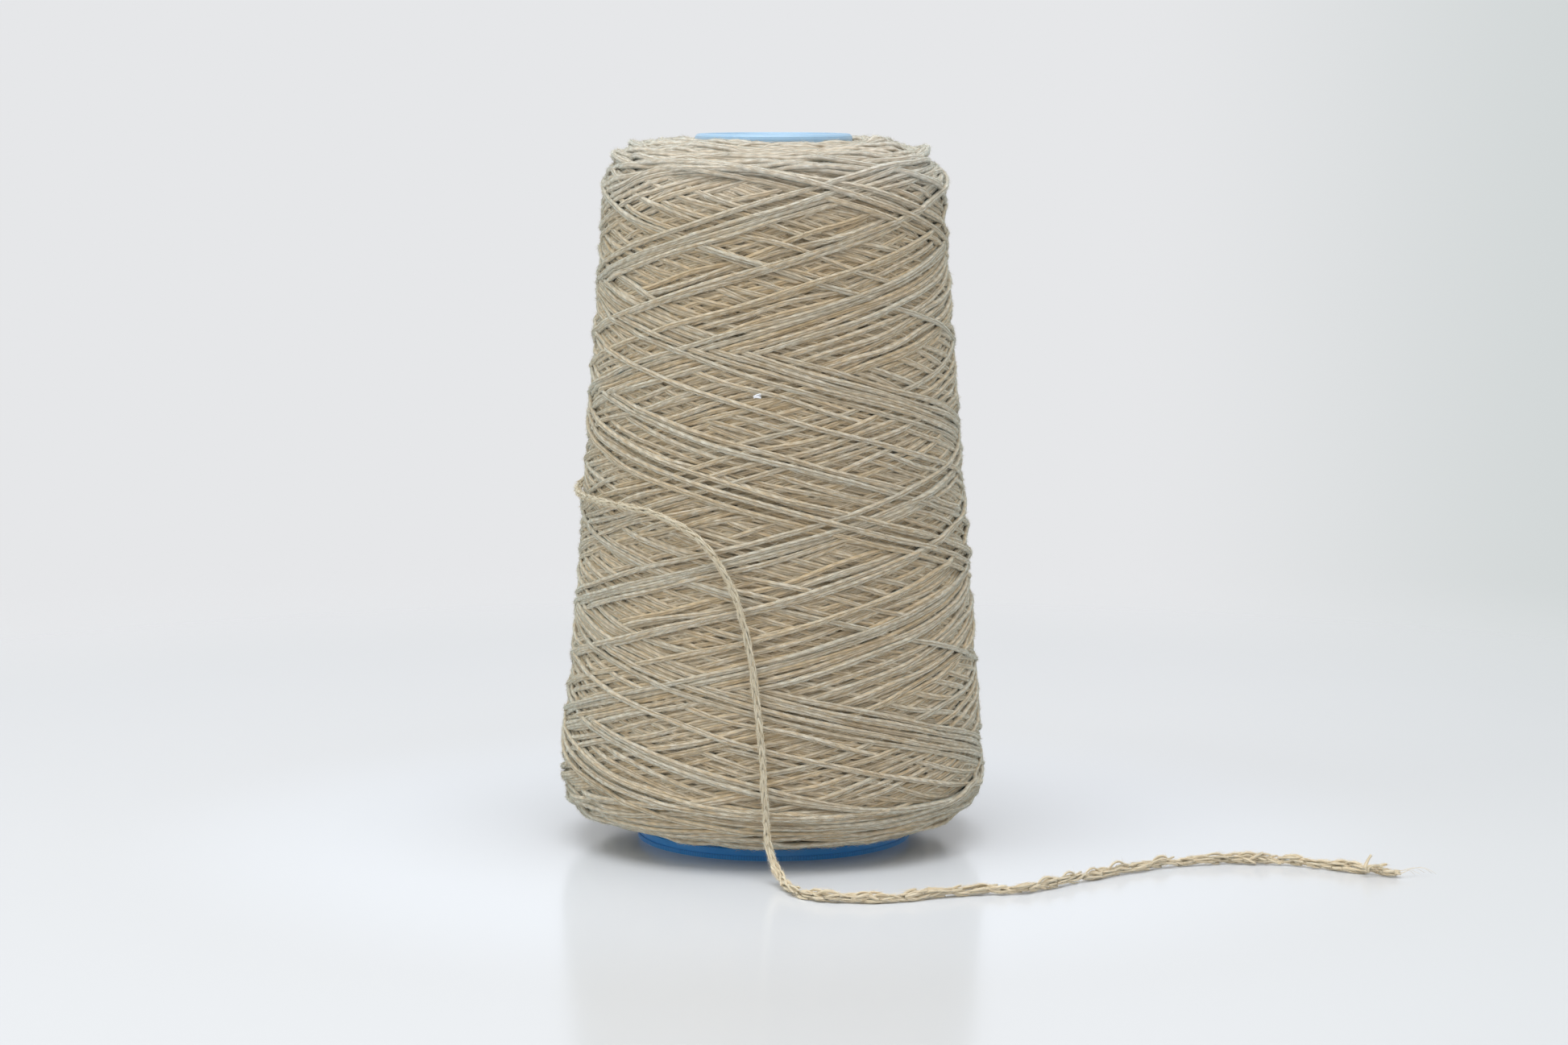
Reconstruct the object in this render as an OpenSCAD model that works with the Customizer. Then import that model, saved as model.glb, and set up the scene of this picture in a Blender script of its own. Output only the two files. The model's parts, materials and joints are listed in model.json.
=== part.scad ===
// Cross-wound cone of yarn: a tapered plastic cone, the yarn wound on it and the yarn's loose tail.
// The origin is on the cone's axis at its foot, +Z runs up to the nose. Millimetres.

/* [Cone] */
// Height of the moulded cone
cone_h = 170; // [150:1:200]
// Half angle of the cone's taper, in degrees
taper = 4.333; // [3.5:0.001:5]
// Outer radius of the wall, carried up to the nose
nose_r = 18.1; // [16:0.1:22]
// Thickness of the wall
wall = 2; // [1.4:0.1:2.6]
// Height of the bead round the nose
bead_h = 6; // [4:0.5:9]
// How far the bead stands out from the wall
bead_proud = 0.3; // [0.1:0.1:0.6]
// Rounding of the bead's top edge
bead_round = 1.2; // [0.6:0.1:1.6]
// Thickness of the nose round its straight seat
seat_wall = 2.1; // [1.8:0.1:3]
// Length of the straight seat in the nose
seat_h = 10; // [7:0.5:16]
// Chamfer at the mouth of the seat
seat_lead = 0.5; // [0.2:0.1:0.8]

/* [Foot] */
// How far the foot stands out from the wall
foot_out = 2.1; // [1.4:0.1:3]
// Height of the foot's lowest step
foot_h = 1; // [0.6:0.1:1.6]
// How far the rim above that step is set back
rim_step = 0.3; // [0.1:0.1:0.6]
// Height of the whole rim
rim_h = 2.9; // [2:0.1:5]
// Chamfer on the rim's top edge
rim_bevel = 0.4; // [0.2:0.1:0.6]

/* [Winding] */
// Length of nose left bare above the winding
bare_nose = 2.9; // [1:0.1:8]
// Depth of yarn, square to the wall
yarn_depth = 21.7; // [16:0.1:30]
// Rounding of the whole winding's shoulders
shoulder_r = 10; // [8:0.5:12]
// Rounding of the plain inner winding's shoulders
inner_shoulder_r = 6; // [4:0.5:8]
// Clearance of the winding on the cone, and of the outer turns on the winding
seat_gap = 0.1; // [0.05:0.05:0.2]

/* [Outer turns] */
// Diameter of the wound strand
strand_d = 1.8; // [1.2:0.1:2]
// Turns after which the winding pattern closes
pattern_turns = 24; // [22:1:24]
// Double strokes, up and down again, in that pattern
double_strokes = 7; // [5:2:7]
// Share of a stroke in which the strand turns back at either end
turn_back = 0.1; // [0.08:0.01:0.12]
// Clear gap between strands that cross
cross_gap = 0.45; // [0.42:0.01:0.8]

/* [Tail] */
// Diameter of the loose tail, which relaxes once it is off the winding
tail_d = 2.2; // [1.6:0.1:2.3]

/* [Hidden] */

blue = [0.20, 0.47, 0.74];
yarn = [0.72, 0.66, 0.55];
tail_yarn = [0.79, 0.73, 0.61];
round_fn = 144;
arc_steps = 3;
turn_rings = 24;
turn_sides = 6;
tail_sides = 6;
tail_span_rings = 2;
rise_rings = 8;

// The tail's route: off the winding at the back left, round to the front, down, and along the floor
tail_route = [
    [-44.6, 16.4, 90], [-45.8, 12.8, 88.8], [-47.3, 5.5, 86.8], [-47.5, -4, 85.4],
    [-46.1, -12.5, 84.8], [-43, -20.7, 84.5], [-38.8, -28, 84.3], [-34, -33.8, 84.1],
    [-28.4, -38.7, 83.3], [-22.4, -42.6, 81.2], [-17.2, -45.3, 77.9], [-13.3, -46.9, 73.5],
    [-10.2, -48, 68.3], [-7.8, -48.9, 62.5], [-6.1, -49.5, 56], [-4.8, -50.1, 49],
    [-3.8, -50.7, 41.5], [-3, -51.4, 34], [-2.3, -52.1, 26], [-1.9, -52.8, 18.5],
    [-1.5, -53.7, 12], [-0.7, -55.4, 7], [0.7, -58.8, 3.4], [2.6, -64, 1.6],
    [5, -70, 1.2], [9, -75, 1.2], [15, -77.3, 1.2], [23, -77.8, 1.2],
    [31, -76, 1.2], [39, -71.8, 1.2], [47, -69.2, 1.2], [55, -68.8, 1.2],
    [63, -63.2, 1.2], [72, -54.8, 1.2], [82, -46.8, 1.2], [93, -39.8, 1.2],
    [105, -36.6, 1.2], [118, -37.4, 1.2], [131, -43.6, 1.2], [143.5, -51, 1.2],
];

// Radii of the wall's two faces at a height
function outer_r(z) = nose_r + (cone_h - z) * tan(taper);
function inner_r(z) = outer_r(z) - wall / cos(taper);

foot_r = outer_r(0) + foot_out;
rim_r = foot_r - rim_step;
bead_r = outer_r(cone_h - bead_h) + bead_proud;
seat_r = nose_r - seat_wall;
seat_ramp = inner_r(cone_h - seat_h) - seat_r;

// The winding's own frame follows the wall: t runs up along it, n straight out of it
wound_foot = [outer_r(rim_h + seat_gap) + seat_gap, rim_h + seat_gap];
wound_len = (cone_h - bare_nose - wound_foot.y) / cos(taper);
function wound(t, n) = [
    wound_foot.x + n * cos(taper) - t * sin(taper),
    wound_foot.y + n * sin(taper) + t * cos(taper)
];
function along_wall(r, z) = (z - wound_foot.y) * cos(taper) - (r - wound_foot.x) * sin(taper);
function off_wall(r, z) = (r - wound_foot.x) * cos(taper) + (z - wound_foot.y) * sin(taper);

// Down-strokes lie on top and up-strokes under them, both clear of the inner winding,
// whose surface the chords between rings dip towards
upper_n = yarn_depth - strand_d / 2;
lower_n = upper_n - strand_d - cross_gap;
chord_dip = wound(0, yarn_depth).x * (1 - cos(180 / turn_rings));
inner_depth = lower_n - strand_d / 2 - chord_dip - seat_gap;

// Where the tail leaves, and which way it points there
exit_point = tail_route[0];
exit_way = unit(tail_route[1] - tail_route[0]);
exit_turn = atan2(exit_point.y, exit_point.x);
exit_t = along_wall(norm([exit_point.x, exit_point.y]), exit_point.z);
exit_n = off_wall(norm([exit_point.x, exit_point.y]), exit_point.z);

// The stroke as a zigzag with rounded ends: 0 at the foot's shoulder, 1 at the nose's
stroke_turns = pattern_turns / double_strokes / 2;
shoulder_lo = shoulder_r;
shoulder_hi = wound_len - shoulder_r;
function zigzag(phase) = abs(phase - 2 * floor(phase / 2 + 0.5));
function eased(x) = x < turn_back ? (x * x / turn_back + turn_back) / 2 : x;
function both_eased(x) = x < 0.5 ? eased(x) : 1 - eased(1 - x);
function stroke(phase) = (both_eased(zigzag(phase)) - turn_back / 2) / (1 - turn_back);
exit_share = (exit_t - shoulder_lo) / (shoulder_hi - shoulder_lo);
exit_phase = 2 * double_strokes - exit_share * (1 - turn_back) - turn_back / 2;
wound_rings = floor(exit_phase * stroke_turns * turn_rings);

function lift(ring, phase) = let (
    level = floor(phase) % 2 == 0 ? lower_n : upper_n,
    rise = max(0, 1 - (wound_rings - ring) / rise_rings)
) level + (exit_n - level) * rise * rise * (3 - 2 * rise);
function on_winding(turn, t, n) = let (p = wound(t, n)) [p.x * cos(turn), p.x * sin(turn), p.y];
function ring_phase(ring) = exit_phase - (wound_rings - ring) / turn_rings / stroke_turns;
function ring_turn(ring) = exit_turn - (wound_rings - ring) * 360 / turn_rings;
function ring_t(ring) = shoulder_lo + (shoulder_hi - shoulder_lo) * stroke(ring_phase(ring));

// The outer turns start square off the inner winding and end square on the tail
turns_path = [
    on_winding(ring_turn(0), ring_t(0), inner_depth + seat_gap),
    on_winding(ring_turn(0), ring_t(0), inner_depth + seat_gap + strand_d),
    for (ring = [1 : wound_rings - 1])
        on_winding(ring_turn(ring), ring_t(ring), lift(ring, ring_phase(ring))),
    exit_point - strand_d * exit_way,
    exit_point
];

tail_path = [
    exit_point,
    exit_point + tail_d * exit_way,
    for (i = [1 : len(tail_route) - 2])
        for (s = [0 : tail_span_rings - 1])
            between(tail_route[i - 1], tail_route[i], tail_route[i + 1],
                tail_route[min(i + 2, len(tail_route) - 1)], s / tail_span_rings),
    tail_route[len(tail_route) - 1]
];

// A smooth curve through b and c, which a and d lead in and out of
function between(a, b, c, d, u) =
    (2 * b + (c - a) * u + (2 * a - 5 * b + 4 * c - d) * u * u + (3 * b - a - 3 * c + d) * u * u * u) / 2;
function unit(v) = v / norm(v);
function arc(centre, r, from, to) = [
    for (i = [0 : arc_steps]) let (a = from + (to - from) * i / arc_steps)
        centre + r * [cos(a), sin(a)]
];

// Tangents of a path, and a sideways vector that is carried along it without twisting
function tangents(path) = let (last = len(path) - 1, way = [
    for (i = [0 : last - 1]) unit(path[i + 1] - path[i])
]) [for (i = [0 : last]) unit(way[max(i - 1, 0)] + way[min(i, last - 1)])];
function square_to(v, way) = unit(v - (v * way) * way);
function sideways(ways) = [
    for (i = 0, side = square_to([0.1, 0.2, 1], ways[0]); i < len(ways);
        i = i + 1, side = i < len(ways) ? square_to(side, ways[i]) : side) side
];

// Least distance between the straight pieces a-b and c-d
function clamp01(x) = min(1, max(0, x));
function piece_distance(a, b, c, d) = let (
    u = b - a, v = d - c, w = a - c,
    uu = u * u, uv = u * v, vv = v * v,
    den = max(uu * vv - uv * uv, 1e-9),
    s0 = clamp01((uv * (v * w) - vv * (u * w)) / den),
    t = clamp01((uv * s0 + v * w) / vv),
    s = clamp01((uv * t - u * w) / uu)
) norm(w + s * u - t * v);

// Least clear gap between one loop and any other, piece by piece round the whole tube
function least_gap(path, d) = min([
    for (i = [0 : len(path) - 2], loop = [1 : pattern_turns], side = [-1 : 1])
        let (j = i + loop * turn_rings + side)
        if (j < len(path) - 1) piece_distance(path[i], path[i + 1], path[j], path[j + 1])
]) - d;

function length(path) = [for (i = [1 : len(path) - 1]) norm(path[i] - path[i - 1])]
    * [for (i = [1 : len(path) - 1]) 1];

echo(loops = wound_rings / turn_rings, least_gap_mm = least_gap(turns_path, strand_d));
echo(tail_rings = len(tail_path), tail_length_mm = length(tail_path));

// A closed tube of flat triangles along a path
module tube(path, d, sides) {
    ways = tangents(path);
    across = sideways(ways);
    last = (len(path) - 1) * sides;
    points = [
        for (i = [0 : len(path) - 1], k = [0 : sides - 1])
            let (a = 360 * k / sides)
            path[i] + d / 2 * (cos(a) * across[i] + sin(a) * cross(ways[i], across[i]))
    ];
    skin = [
        for (i = [0 : len(path) - 2], k = [0 : sides - 1], half = [0, 1])
            let (a = i * sides + k, b = i * sides + (k + 1) % sides)
            half == 0 ? [a, b + sides, b] : [a, a + sides, b + sides]
    ];
    caps = [
        for (k = [1 : sides - 2], end = [0, 1])
            end == 0 ? [0, k, k + 1] : [last, last + k + 1, last + k]
    ];
    polyhedron(points, concat(skin, caps), convexity = 10);
}

module cone_core() {
    seat_z = cone_h - seat_h;
    bead_z = cone_h - bead_h;
    outline = concat(
        [[inner_r(0), 0], [foot_r, 0], [foot_r, foot_h], [rim_r, foot_h]],
        [[rim_r, rim_h - rim_bevel], [rim_r - rim_bevel, rim_h], [outer_r(rim_h), rim_h]],
        [[outer_r(bead_z), bead_z], [bead_r, bead_z + bead_proud]],
        arc([bead_r - bead_round, cone_h - bead_round], bead_round, 0, 90),
        [[seat_r + seat_lead, cone_h], [seat_r, cone_h - seat_lead]],
        [[seat_r, seat_z], [seat_r + seat_ramp, seat_z - seat_ramp]]
    );
    color(blue) rotate_extrude($fn = round_fn) polygon(outline);
}

module inner_winding() {
    r = inner_shoulder_r;
    edge = concat(
        [[0, 0]],
        arc([r, inner_depth - r], r, 180, 90),
        arc([wound_len - r, inner_depth - r], r, 90, 0),
        [[wound_len, 0]]
    );
    color(yarn) rotate_extrude($fn = round_fn) polygon([for (p = edge) wound(p.x, p.y)]);
}

module outer_turns() {
    color(yarn) tube(turns_path, strand_d, turn_sides);
}

module yarn_tail() {
    color(tail_yarn) tube(tail_path, tail_d, tail_sides);
}

cone_core();
inner_winding();
outer_turns();
yarn_tail();
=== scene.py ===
"""A cross-wound cone of chain-knit wool yarn on a blue plastic cone, with its loose tail on the floor."""
import json
import math

import bpy
import numpy as np
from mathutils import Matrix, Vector

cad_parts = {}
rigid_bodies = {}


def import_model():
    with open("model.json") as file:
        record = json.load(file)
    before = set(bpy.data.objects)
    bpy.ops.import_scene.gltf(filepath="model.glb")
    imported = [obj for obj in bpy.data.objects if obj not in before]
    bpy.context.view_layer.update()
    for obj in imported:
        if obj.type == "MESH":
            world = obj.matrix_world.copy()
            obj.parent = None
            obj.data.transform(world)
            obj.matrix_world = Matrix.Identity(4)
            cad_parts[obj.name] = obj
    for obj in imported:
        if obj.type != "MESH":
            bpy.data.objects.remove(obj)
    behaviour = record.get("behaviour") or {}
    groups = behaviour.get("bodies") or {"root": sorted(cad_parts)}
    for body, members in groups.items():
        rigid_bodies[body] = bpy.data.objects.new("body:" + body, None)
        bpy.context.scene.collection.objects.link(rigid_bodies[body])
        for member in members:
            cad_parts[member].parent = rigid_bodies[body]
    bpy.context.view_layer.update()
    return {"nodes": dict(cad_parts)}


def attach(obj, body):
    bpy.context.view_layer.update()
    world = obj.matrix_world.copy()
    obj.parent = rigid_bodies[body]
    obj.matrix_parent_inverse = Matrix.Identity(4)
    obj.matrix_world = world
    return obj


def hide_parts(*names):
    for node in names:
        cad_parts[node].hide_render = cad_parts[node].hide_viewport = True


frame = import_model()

scene = bpy.context.scene
scene.view_settings.view_transform = "Standard"
MM = 0.001

# ---------------------------------------------------------------- the camera and its picture

EYE = Vector((0.0025, -0.889, 0.183))
PITCH_DOWN = math.radians(6.84)
LENS = 85
SENSOR = 36
# Size of the picture in pixels
PICTURE_WIDE = 1946
PICTURE_HIGH = 1297

# ---------------------------------------------------------------- sizes, in millimetres

# The plastic cone: its height, its wall's outer radius carried up to the nose, and its taper
CONE_HEIGHT = 170
NOSE_RADIUS = 18.1
TAPER = math.tan(math.radians(4.333))

STRAND_WIDE = 1.4
STRAND_THICK = 1.3
STRAND_SIDES = 6
# Climb of a strand in one turn, and the length over which it turns back at either end
PITCH = 77.5
TURN_BACK = 7.0
# The turn, in degrees, that faces the camera
FRONT = -90

# Corners of the winding's outline as radius and height, from the foot of the cone, out and up to
# the nose. Skin rounds them.
OUTLINE = [
    (31, 3.1), (42, 4.4), (47.5, 6.5), (50.7, 10.5), (51.4, 16), (42, 143),
    (41.3, 155.5), (39, 163.4), (34.5, 167.6), (27.5, 169), (21, 168.1), (19.3, 167),
]
# Heights between which the winding's flank lies
FLANK = (14, 164)

# Where the tail leaves the solid of the winding, and its route from just under the last strokes
TAIL_EXIT = (-44.6, 16.4, 90)
TAIL_ROUTE = [
    (-43.1, 15.9, 88.5), (-44.2, 12.4, 87.6), (-45.8, 5.2, 86.2), (-47.0, -3.2, 85.5),
    (-46.1, -12.5, 84.8), (-43, -20.7, 84.5), (-38.8, -28, 84.3), (-34, -33.8, 84.1),
    (-28.4, -38.7, 83.3), (-22.4, -42.6, 81.2), (-17.2, -45.3, 77.9), (-13.3, -46.9, 73.5),
    (-10.2, -48, 68.3), (-7.8, -48.9, 62.5), (-6.1, -49.5, 56), (-4.8, -50.1, 49),
    (-3.8, -50.7, 41.5), (-3, -51.4, 34), (-2.3, -52.1, 26), (-1.9, -52.8, 18.5),
    (-1.5, -53.7, 12), (-0.7, -55.4, 7), (0.7, -58.8, 3.4), (2.6, -64, 1.6),
    (5, -70, 1.2), (9, -75, 1.2), (15, -77.3, 1.2), (23, -77.8, 1.2),
    (31, -76, 1.2), (39, -71.8, 1.2), (47, -69.2, 1.2), (55, -68.8, 1.2),
    (63, -63.2, 1.2), (72, -54.8, 1.2), (82, -46.8, 1.2), (93, -39.8, 1.2),
    (105, -36.6, 1.2), (118, -37.4, 1.2), (131, -43.6, 1.2), (143.5, -51, 1.2),
]
EXIT_TURN = math.degrees(math.atan2(TAIL_EXIT[1], TAIL_EXIT[0]))

# The last strokes to be wound, oldest first: rising or falling to the right, and the row of the
# picture on which each one crosses the middle of the winding's front
LAST_STROKES = [
    ("fall", 335), ("rise", 276), ("fall", 441), ("rise", 432), ("fall", 566), ("rise", 268),
    ("fall", 450), ("rise", 424), ("fall", 575), ("rise", 334), ("rise", 416), ("fall", 645),
    ("fall", 458), ("rise", 408), ("rise", 368), ("fall", 466), ("rise", 262), ("fall", 616),
    ("rise", 401), ("fall", 516), ("rise", 329), ("fall", 476), ("rise", 247), ("fall", 631),
]
EARLY_STROKES = 240
# Length of skin that the first strokes leave bare at either end, and the least that any does
FIRST_MARGIN = 3
LEAST_MARGIN = 2.0
# Strands are kept this far from the skin's very ends
END_MARGIN = 1.2
# Gap between neighbouring early strokes, at least and at most
STROKE_GAP = (2.0, 2.9)
# How far a stroke runs on past either end of its climb, and how far round the tail's own stroke
# goes, in degrees
TUCK = 26
EXIT_SWEEP = 155
# The tail's own stroke keeps one level over so many of its last columns, and is drawn to the
# tail's start over so many of its last points
LEVEL_COLUMNS = 37
LEAD_POINTS = 14
# Lengths of the waves in which a stroke wanders, the step between its points that they are
# reckoned with, and how far an early and a last stroke wander
WANDER_WAVES = (34, 61, 97)
WANDER_STEP = 0.4
EARLY_WANDER = 0.4
LAST_WANDER = 0.15
# The winding comes in so many pieces, and one in so many of a strand's columns is a point of it
BUNDLES = 6
COLUMNS_A_POINT = 5

# How a soft strand settles: how much of its half thickness stays above the mean of what it lies
# on, and how much of it may sink into the highest strand it crosses
SPRINGY = 0.15
SQUASHED = 1.25
# Steps by which a strand may slip sideways into a hollow
SIDEWAYS = (-0.45, -0.3, -0.15, 0.0, 0.15, 0.3, 0.45)
# The skin lies this far above the mean level of the yarn, and yarn deeper under it than SHALLOW
# is brought nearer, to a share DEEP of its depth
PROUD = 0.6
SHALLOW = 0.9
DEEP = 0.4
# How deep the ends of a strand dive under the skin, over what length, and the length of strand
# that one column takes
END_SUNK = 2.8
END_LONG = 14
COLUMN_LONG = 0.38
# Where the winding stands proud of the skin, or low if the last number is negative: the turn and
# the spread round it in degrees, the place along the skin as a share of the whole, the spread
# along it and the height
MOUNDS = (
    (-4, 26, 0.87, 3.5, 1.8), (-32, 7, 0.95, 4.0, 1.5), (-5, 30, 0.945, 3.0, -0.6),
    (184, 24, 0.875, 4.0, 0.9), (180, 32, 0.92, 4.0, 1.1), (182, 30, 0.17, 14.0, 0.9),
    (-3, 35, 0.075, 7.0, -1.0), (220, 28, 0.05, 6.0, -1.5))

# Short and long loose fibres on a square metre, and how thick they are at the root
WOUND_FUZZ = {"Short a square metre": 3.4e6, "Long a square metre": 0.8e6, "Thickness": 0.036}
TAIL_FUZZ = {"Short a square metre": 7e6, "Long a square metre": 1.8e6, "Thickness": 0.04}
LOOP_FUZZ = {"Short a square metre": 3e6, "Long a square metre": 2.0e6, "Thickness": 0.034}

# The tail's knitted chain: a stitch's length, its distance from the middle and its ply's radius
STITCH_LONG = 3.0
STITCH_RADIUS = 0.6
PLY_RADIUS = 0.33
STITCHES_ROUND = 3


# ---------------------------------------------------------------- materials

class Term:
    """A value in a material or a tree of nodes, which ordinary arithmetic works on."""

    def __init__(self, home, socket):
        self.home = home
        self.socket = socket

    def _reckon(self, operation, first, second):
        return self.home.node("ShaderNodeMath", {"operation": operation}, [first, second])

    def __add__(self, other):
        return self._reckon("ADD", self, other)

    def __sub__(self, other):
        return self._reckon("SUBTRACT", self, other)

    def __rsub__(self, other):
        return self._reckon("SUBTRACT", other, self)

    def __mul__(self, other):
        return self._reckon("MULTIPLY", self, other)

    def __truediv__(self, other):
        return self._reckon("DIVIDE", self, other)

    __radd__ = __add__
    __rmul__ = __mul__


class Sheet:
    """The nodes of one material, or of the world."""

    def __init__(self, owner):
        self.owner = owner
        owner.use_nodes = True
        self.tree = owner.node_tree
        self.tree.nodes.clear()

    def node(self, kind, settings, values, out=0):
        """A node of any kind: its settings come first, then its sockets' values or links."""
        made = self.tree.nodes.new(kind)
        for name, value in settings.items():
            setattr(made, name, value)
        named = values.items() if isinstance(values, dict) else enumerate(values)
        for name, value in named:
            socket = made.inputs[name] if isinstance(name, int) else self.find(made.inputs, name)
            if isinstance(value, Term):
                self.tree.links.new(value.socket, socket)
            elif socket.type == "RGBA":
                socket.default_value = (*value, 1)
            else:
                socket.default_value = value
        return Term(self, made.outputs[out] if isinstance(out, int) else self.find(made.outputs, out))

    @staticmethod
    def find(sockets, name):
        for socket in sockets:
            if socket.identifier == name:
                return socket
        return sockets[name]

    def maths(self, operation, *values):
        return self.node("ShaderNodeMath", {"operation": operation}, values)

    def blend(self, share, first, second):
        return self.node(
            "ShaderNodeMix", {"data_type": "RGBA"},
            {"Factor_Float": share, "A_Color": first, "B_Color": second}, "Result_Color")

    def attribute(self, name, out):
        return self.node("ShaderNodeAttribute", {"attribute_name": name}, {}, out)

    def place(self):
        """The point's place in the piece's own frame."""
        return self.node("ShaderNodeTexCoord", {}, {}, "Object")

    def part(self, vector, axis):
        return self.node("ShaderNodeSeparateXYZ", {}, [vector], axis)

    def noise(self, place, scale, detail=2.0, roughness=0.5):
        return self.node(
            "ShaderNodeTexNoise", {},
            {"Vector": place, "Scale": scale, "Detail": detail, "Roughness": roughness}, "Fac")

    def smooth(self, value, low, high):
        """0 below low and 1 above high, with a soft step between them."""
        return self.node(
            "ShaderNodeMapRange", {"interpolation_type": "SMOOTHSTEP"},
            {"Value": value, "From Min": low, "From Max": high}, "Result")

    def bump(self, height, strength, distance):
        return self.node(
            "ShaderNodeBump", {}, {"Height": height, "Strength": strength, "Distance": distance}, "Normal")

    def surface(self, values):
        return self.node("ShaderNodeBsdfPrincipled", {}, values, "BSDF")

    def finish(self, shader, kind="ShaderNodeOutputMaterial"):
        end = self.tree.nodes.new(kind)
        self.tree.links.new(shader.socket, end.inputs["Surface"])
        return self.owner


def shade(red, green, blue):
    """A colour as it looks on a screen, 0 to 255, turned into the linear values of a shader."""
    return tuple(
        (c / 255 / 12.92) if c / 255 <= 0.04045 else ((c / 255 + 0.055) / 1.055) ** 2.4
        for c in (red, green, blue))


WHITE = shade(250, 251, 255)
SHEEN = shade(222, 244, 240)


def paler_slack_and_top_light(sheet, wool):
    """The colour, paler where the tail lies slack on the floor, and with painted light round the top of the
    winding, where the light from above falls on it.
    """
    height = sheet.part(sheet.place(), "Z")
    slack = 1.0 - sheet.smooth(height, 3 * MM, 7 * MM)
    wool = sheet.blend(slack * 0.6, wool, shade(250, 232, 202))
    return sheet.blend(sheet.smooth(height, 148 * MM, 167 * MM) * 0.35, wool, shade(240, 240, 238))


def heathered_and_depth_shaded(sheet, wool, heather, patch, tone, bare, mixed):
    """The colour mixed in patches along the strand, and another cast for each strand, with painted shade,
    darker and warmer, on yarn that lies deep under the winding's surface.
    """
    tan = sheet.smooth(heather, 0.42, 0.62) * (0.55 * mixed)
    grey = sheet.smooth(patch, 0.48, 0.68) * (0.45 * mixed)
    wool = sheet.blend(tan, wool, shade(208, 176, 126))
    wool = sheet.blend(grey, wool, shade(168, 167, 154))
    wool = sheet.blend(sheet.smooth(tone, 0.6, 1.0) * 0.4, wool, shade(200, 200, 188))
    wool = sheet.blend((1.0 - sheet.smooth(tone, 0.0, 0.35)) * 0.4, wool, shade(212, 186, 144))
    # Painted shade: the less open a strand is, the deeper it lies, and the darker and warmer it is painted.
    return sheet.blend((1.0 - bare) * 0.4, wool, shade(200, 170, 126))


def yarn_material(name, light, middle, dark, shade_strength, mixed):
    """Soft wool: fibres along the strand, the chain's slanting stitches, colours mixed in heather, and
    painted shade in the grooves between the chain's columns and on the strand's flanks.
    """
    sheet = Sheet(bpy.data.materials.new(name))
    lay = sheet.attribute("lay", "Vector")
    tone = sheet.attribute("tone", "Fac")
    bare = sheet.attribute("open", "Fac")
    across, side, along = (sheet.part(lay, axis) for axis in "XYZ")

    def spot(round_scale, long_scale, shift):
        """A place in the noise that is drawn out along the strand and differs from strand to strand."""
        return sheet.node("ShaderNodeCombineXYZ", {}, [
            across * round_scale, side * round_scale, along * long_scale + (tone * 37.0 + shift)])

    # The chain's columns run along the strand and sway, with slanting stitches in each
    sway = sheet.noise(spot(0.1, 0.03, 0.0), 1.0) * 5.0 - 2.5
    angle = sheet.maths("ARCTAN2", side, across)
    column = sheet.maths("ABSOLUTE", sheet.maths("SINE", angle * 1.5 + sway))
    crest = sheet.smooth(column, 0.0, 0.45)
    along = along + column * 1.3
    slant = sheet.maths("SINE", along * (2 * math.pi / STITCH_LONG) + tone * 40.0)
    leg = slant * 0.5 + 0.5

    fibre = sheet.noise(spot(3.6, 1.3, 5.0), 1.0, 3.0, 0.62)
    hair = sheet.noise(spot(8.0, 2.6, 11.0), 1.0, 2.0, 0.6)
    heather = sheet.noise(spot(1.4, 0.34, 23.0), 1.0, 2.0, 0.6)
    patch = sheet.noise(spot(2.0, 0.55, 31.0), 1.0, 2.0, 0.6)

    streak = sheet.smooth(fibre * 0.55 + hair * 0.45, 0.34, 0.66)
    wool = sheet.blend(streak, middle, light)
    # Painted light pales the yarn round the top of the winding; painted shade darkens and warms the strands
    # that lie deep.
    wool = paler_slack_and_top_light(sheet, heathered_and_depth_shaded(sheet, wool, heather, patch, tone, bare, mixed))
    # Painted shade in the grooves between the chain's columns and between its stitches.
    groove_shade = (1.0 - crest * (leg * 0.4 + 0.6)) * shade_strength
    wool = sheet.blend(groove_shade, wool, dark)
    # Painted shade on the strand's flanks, where its neighbours shade it.
    flank = (1.0 - sheet.smooth(across, -0.3, 0.8)) * (0.67 * shade_strength)
    wool = sheet.blend(flank, wool, dark)

    height = crest * 0.5 + leg * crest * 0.35 + fibre * 0.45 + hair * 0.2
    return sheet.finish(sheet.surface({
        "Base Color": wool, "Roughness": 0.92, "Normal": sheet.bump(height, 0.6, 0.35 * MM),
        "Specular IOR Level": 0.12, "Sheen Weight": 0.75, "Sheen Roughness": 0.4, "Sheen Tint": SHEEN,
        "Subsurface Weight": 0.15, "Subsurface Radius": (1.0, 0.85, 0.65),
        "Subsurface Scale": 0.9 * MM}))


def fibre_material(name, light, middle, warm, dark):
    """Loose fibres, each with a colour of its own."""
    sheet = Sheet(bpy.data.materials.new(name))
    tone = sheet.attribute("tone", "Fac")
    wool = sheet.blend(sheet.smooth(tone, 0.1, 0.3), dark, warm)
    wool = sheet.blend(sheet.smooth(tone, 0.3, 0.5), wool, middle)
    wool = sheet.blend(sheet.smooth(tone, 0.5, 0.9), wool, light)
    # Painted light makes the fibres paler round the top of the winding.
    return sheet.finish(sheet.surface({
        "Base Color": paler_slack_and_top_light(sheet, wool), "Roughness": 0.9, "Specular IOR Level": 0.15,
        "Sheen Weight": 0.4, "Sheen Roughness": 0.4, "Sheen Tint": SHEEN}))


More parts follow.
